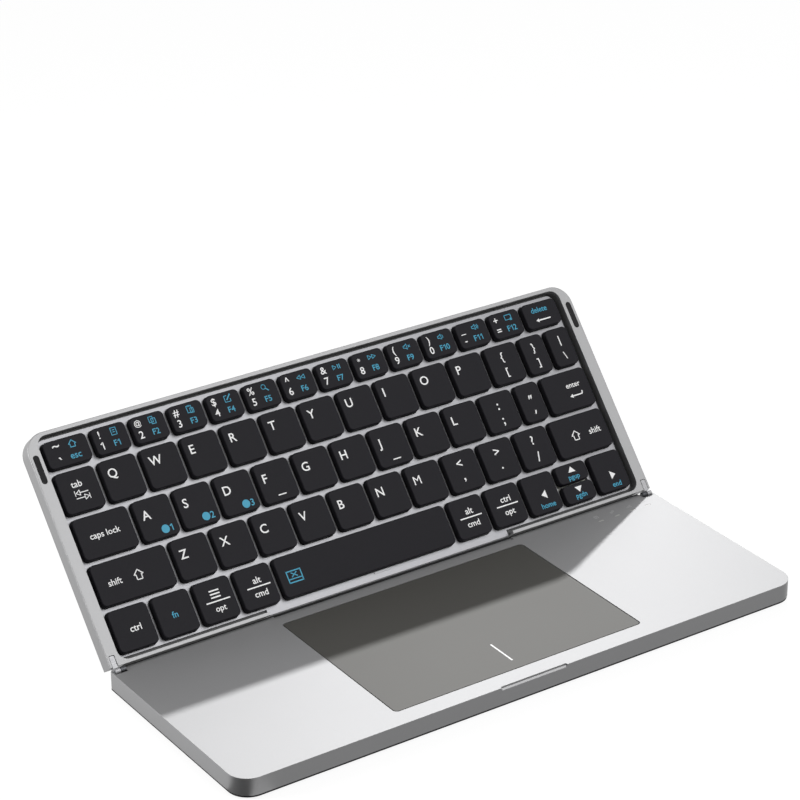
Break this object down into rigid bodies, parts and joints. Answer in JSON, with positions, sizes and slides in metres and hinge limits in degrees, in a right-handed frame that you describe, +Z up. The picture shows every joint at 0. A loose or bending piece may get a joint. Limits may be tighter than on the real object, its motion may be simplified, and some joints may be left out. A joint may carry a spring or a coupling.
{
  "type": "folding keyboard",
  "caption": "Thin two-half folding keyboard: a palm rest with a large touchpad, hinged to a keyboard half with raised black keys in a metal rim.",
  "frame": {"origin": "centre of the footprint at the bottom of the rubber feet, in the half-open rest pose", "axes": "+Z up, +X along the hinge to the user's right, +Y away from the user"},
  "size_m": [0.25, 0.1552, 0.0789],
  "materials": {
    "shell_aluminium": "bead-blasted, clear anodised",
    "key_plate_metal": "satin anodised",
    "touchpad_glass": "fine matt etched grey glass",
    "circuit_board": "solder mask",
    "sheet_steel": "rolled",
    "black_plastic": "fine texture",
    "battery_foil": "laminated foil",
    "port_steel": "plated",
    "clear_guide": "milky",
    "magnet": "nickel plated",
    "black_rubber": "matt",
    "screw_steel": "black oxide",
    "ribbon_film": "polyimide film",
    "hinge_steel": "ground",
    "hinge_arm_metal": "satin",
    "membrane_film": "clear film with printed tracks",
    "dome_silicone": "silicone",
    "link_plastic": "moulded",
    "wire_steel": "drawn wire",
    "key_black": "fine matt"
  },
  "bodies": {
    "palm_rest": {"palm_shell": "shell_aluminium", "bottom_cover": "shell_aluminium", "touchpad_tray": "sheet_steel", "click_switch": "black_plastic", "main_board": "circuit_board", "left_battery": "battery_foil", "right_battery": "battery_foil", "usb_c_socket": "port_steel", "light_guides": "clear_guide", "palm_magnets": "magnet", "palm_feet": "black_rubber", "case_screws": "screw_steel", "ribbon_cable": "ribbon_film", "hinge_brackets": "hinge_steel", "hinge_pins": "hinge_steel", "hinge_screws": "screw_steel", "board_shield": "sheet_steel"},
    "keyboard_half": {"keyboard_frame": "shell_aluminium", "back_cover": "shell_aluminium", "key_plate": "key_plate_metal", "spacer_frame": "black_plastic", "base_plate": "sheet_steel", "contact_membrane": "membrane_film", "dome_sheet": "dome_silicone", "scissor_links": "link_plastic", "stabiliser_bars": "wire_steel", "rim_bumpers": "black_rubber", "back_feet": "black_rubber", "keyboard_magnets": "magnet", "frame_screws": "screw_steel", "hinge_arms": "hinge_arm_metal"},
    "touchpad": {"touchpad_glass": "touchpad_glass", "touchpad_board": "circuit_board"},
    "esc_key": {"esc_key": "key_black"},
    "tab_key": {"tab_key": "key_black"},
    "caps_lock_key": {"caps_lock_key": "key_black"},
    "left_shift_key": {"left_shift_key": "key_black"},
    "left_ctrl_key": {"left_ctrl_key": "key_black"},
    "fn_key": {"fn_key": "key_black"},
    "menu_key": {"menu_key": "key_black"},
    "left_alt_key": {"left_alt_key": "key_black"},
    "space_bar": {"space_bar": "key_black"},
    "right_alt_key": {"right_alt_key": "key_black"},
    "right_ctrl_key": {"right_ctrl_key": "key_black"},
    "left_arrow_key": {"left_arrow_key": "key_black"},
    "up_arrow_key": {"up_arrow_key": "key_black"},
    "down_arrow_key": {"down_arrow_key": "key_black"},
    "right_arrow_key": {"right_arrow_key": "key_black"},
    "right_shift_key": {"right_shift_key": "key_black"},
    "enter_key": {"enter_key": "key_black"},
    "delete_key": {"delete_key": "key_black"},
    "number_keys_left": {"number_keys_left": "key_black"},
    "number_keys_right": {"number_keys_right": "key_black"},
    "upper_letter_keys_left": {"upper_letter_keys_left": "key_black"},
    "upper_letter_keys_right": {"upper_letter_keys_right": "key_black"},
    "bracket_keys": {"bracket_keys": "key_black"},
    "middle_letter_keys_left": {"middle_letter_keys_left": "key_black"},
    "middle_letter_keys_right": {"middle_letter_keys_right": "key_black"},
    "lower_letter_keys_left": {"lower_letter_keys_left": "key_black"},
    "lower_letter_keys_right": {"lower_letter_keys_right": "key_black"}
  },
  "joints": [
    {"name": "fold_hinge", "type": "hinge", "parent": "palm_rest", "child": "keyboard_half", "pos_m": [0, 0.01107, 0.0086], "axis": [1, 0, 0], "range_deg": [-48.9, 131]},
    {"name": "touchpad_click", "type": "hinge", "parent": "palm_rest", "child": "touchpad", "pos_m": [0, 0.00594, 0.0074], "axis": [1, 0, 0], "range_deg": [0, 0.25], "stiffness_Nm_per_rad": 120, "springref_deg": -0.11},
    {"name": "esc_key_press", "type": "slide", "parent": "keyboard_half", "child": "esc_key", "axis": [0, 0.7544, -0.6565], "range_m": [0, 0.0015], "stiffness_N_per_m": 400, "springref_m": -0.0005},
    {"name": "tab_key_press", "type": "slide", "parent": "keyboard_half", "child": "tab_key", "axis": [0, 0.7544, -0.6565], "range_m": [0, 0.0015], "stiffness_N_per_m": 400, "springref_m": -0.0005},
    {"name": "caps_lock_key_press", "type": "slide", "parent": "keyboard_half", "child": "caps_lock_key", "axis": [0, 0.7544, -0.6565], "range_m": [0, 0.0015], "stiffness_N_per_m": 400, "springref_m": -0.0005},
    {"name": "left_shift_key_press", "type": "slide", "parent": "keyboard_half", "child": "left_shift_key", "axis": [0, 0.7544, -0.6565], "range_m": [0, 0.0015], "stiffness_N_per_m": 400, "springref_m": -0.0005},
    {"name": "left_ctrl_key_press", "type": "slide", "parent": "keyboard_half", "child": "left_ctrl_key", "axis": [0, 0.7544, -0.6565], "range_m": [0, 0.0015], "stiffness_N_per_m": 400, "springref_m": -0.0005},
    {"name": "fn_key_press", "type": "slide", "parent": "keyboard_half", "child": "fn_key", "axis": [0, 0.7544, -0.6565], "range_m": [0, 0.0015], "stiffness_N_per_m": 400, "springref_m": -0.0005},
    {"name": "menu_key_press", "type": "slide", "parent": "keyboard_half", "child": "menu_key", "axis": [0, 0.7544, -0.6565], "range_m": [0, 0.0015], "stiffness_N_per_m": 400, "springref_m": -0.0005},
    {"name": "left_alt_key_press", "type": "slide", "parent": "keyboard_half", "child": "left_alt_key", "axis": [0, 0.7544, -0.6565], "range_m": [0, 0.0015], "stiffness_N_per_m": 400, "springref_m": -0.0005},
    {"name": "space_bar_press", "type": "slide", "parent": "keyboard_half", "child": "space_bar", "axis": [0, 0.7544, -0.6565], "range_m": [0, 0.0015], "stiffness_N_per_m": 400, "springref_m": -0.0005},
    {"name": "right_alt_key_press", "type": "slide", "parent": "keyboard_half", "child": "right_alt_key", "axis": [0, 0.7544, -0.6565], "range_m": [0, 0.0015], "stiffness_N_per_m": 400, "springref_m": -0.0005},
    {"name": "right_ctrl_key_press", "type": "slide", "parent": "keyboard_half", "child": "right_ctrl_key", "axis": [0, 0.7544, -0.6565], "range_m": [0, 0.0015], "stiffness_N_per_m": 400, "springref_m": -0.0005},
    {"name": "left_arrow_key_press", "type": "slide", "parent": "keyboard_half", "child": "left_arrow_key", "axis": [0, 0.7544, -0.6565], "range_m": [0, 0.0015], "stiffness_N_per_m": 400, "springref_m": -0.0005},
    {"name": "up_arrow_key_press", "type": "slide", "parent": "keyboard_half", "child": "up_arrow_key", "axis": [0, 0.7544, -0.6565], "range_m": [0, 0.0015], "stiffness_N_per_m": 400, "springref_m": -0.0005},
    {"name": "down_arrow_key_press", "type": "slide", "parent": "keyboard_half", "child": "down_arrow_key", "axis": [0, 0.7544, -0.6565], "range_m": [0, 0.0015], "stiffness_N_per_m": 400, "springref_m": -0.0005},
    {"name": "right_arrow_key_press", "type": "slide", "parent": "keyboard_half", "child": "right_arrow_key", "axis": [0, 0.7544, -0.6565], "range_m": [0, 0.0015], "stiffness_N_per_m": 400, "springref_m": -0.0005},
    {"name": "right_shift_key_press", "type": "slide", "parent": "keyboard_half", "child": "right_shift_key", "axis": [0, 0.7544, -0.6565], "range_m": [0, 0.0015], "stiffness_N_per_m": 400, "springref_m": -0.0005},
    {"name": "enter_key_press", "type": "slide", "parent": "keyboard_half", "child": "enter_key", "axis": [0, 0.7544, -0.6565], "range_m": [0, 0.0015], "stiffness_N_per_m": 400, "springref_m": -0.0005},
    {"name": "delete_key_press", "type": "slide", "parent": "keyboard_half", "child": "delete_key", "axis": [0, 0.7544, -0.6565], "range_m": [0, 0.0015], "stiffness_N_per_m": 400, "springref_m": -0.0005},
    {"name": "number_keys_left_press", "type": "slide", "parent": "keyboard_half", "child": "number_keys_left", "axis": [0, 0.7544, -0.6565], "range_m": [0, 0.0015], "stiffness_N_per_m": 400, "springref_m": -0.0005},
    {"name": "number_keys_right_press", "type": "slide", "parent": "keyboard_half", "child": "number_keys_right", "axis": [0, 0.7544, -0.6565], "range_m": [0, 0.0015], "stiffness_N_per_m": 400, "springref_m": -0.0005},
    {"name": "upper_letter_keys_left_press", "type": "slide", "parent": "keyboard_half", "child": "upper_letter_keys_left", "axis": [0, 0.7544, -0.6565], "range_m": [0, 0.0015], "stiffness_N_per_m": 400, "springref_m": -0.0005},
    {"name": "upper_letter_keys_right_press", "type": "slide", "parent": "keyboard_half", "child": "upper_letter_keys_right", "axis": [0, 0.7544, -0.6565], "range_m": [0, 0.0015], "stiffness_N_per_m": 400, "springref_m": -0.0005},
    {"name": "bracket_keys_press", "type": "slide", "parent": "keyboard_half", "child": "bracket_keys", "axis": [0, 0.7544, -0.6565], "range_m": [0, 0.0015], "stiffness_N_per_m": 400, "springref_m": -0.0005},
    {"name": "middle_letter_keys_left_press", "type": "slide", "parent": "keyboard_half", "child": "middle_letter_keys_left", "axis": [0, 0.7544, -0.6565], "range_m": [0, 0.0015], "stiffness_N_per_m": 400, "springref_m": -0.0005},
    {"name": "middle_letter_keys_right_press", "type": "slide", "parent": "keyboard_half", "child": "middle_letter_keys_right", "axis": [0, 0.7544, -0.6565], "range_m": [0, 0.0015], "stiffness_N_per_m": 400, "springref_m": -0.0005},
    {"name": "lower_letter_keys_left_press", "type": "slide", "parent": "keyboard_half", "child": "lower_letter_keys_left", "axis": [0, 0.7544, -0.6565], "range_m": [0, 0.0015], "stiffness_N_per_m": 400, "springref_m": -0.0005},
    {"name": "lower_letter_keys_right_press", "type": "slide", "parent": "keyboard_half", "child": "lower_letter_keys_right", "axis": [0, 0.7544, -0.6565], "range_m": [0, 0.0015], "stiffness_N_per_m": 400, "springref_m": -0.0005}
  ]
}
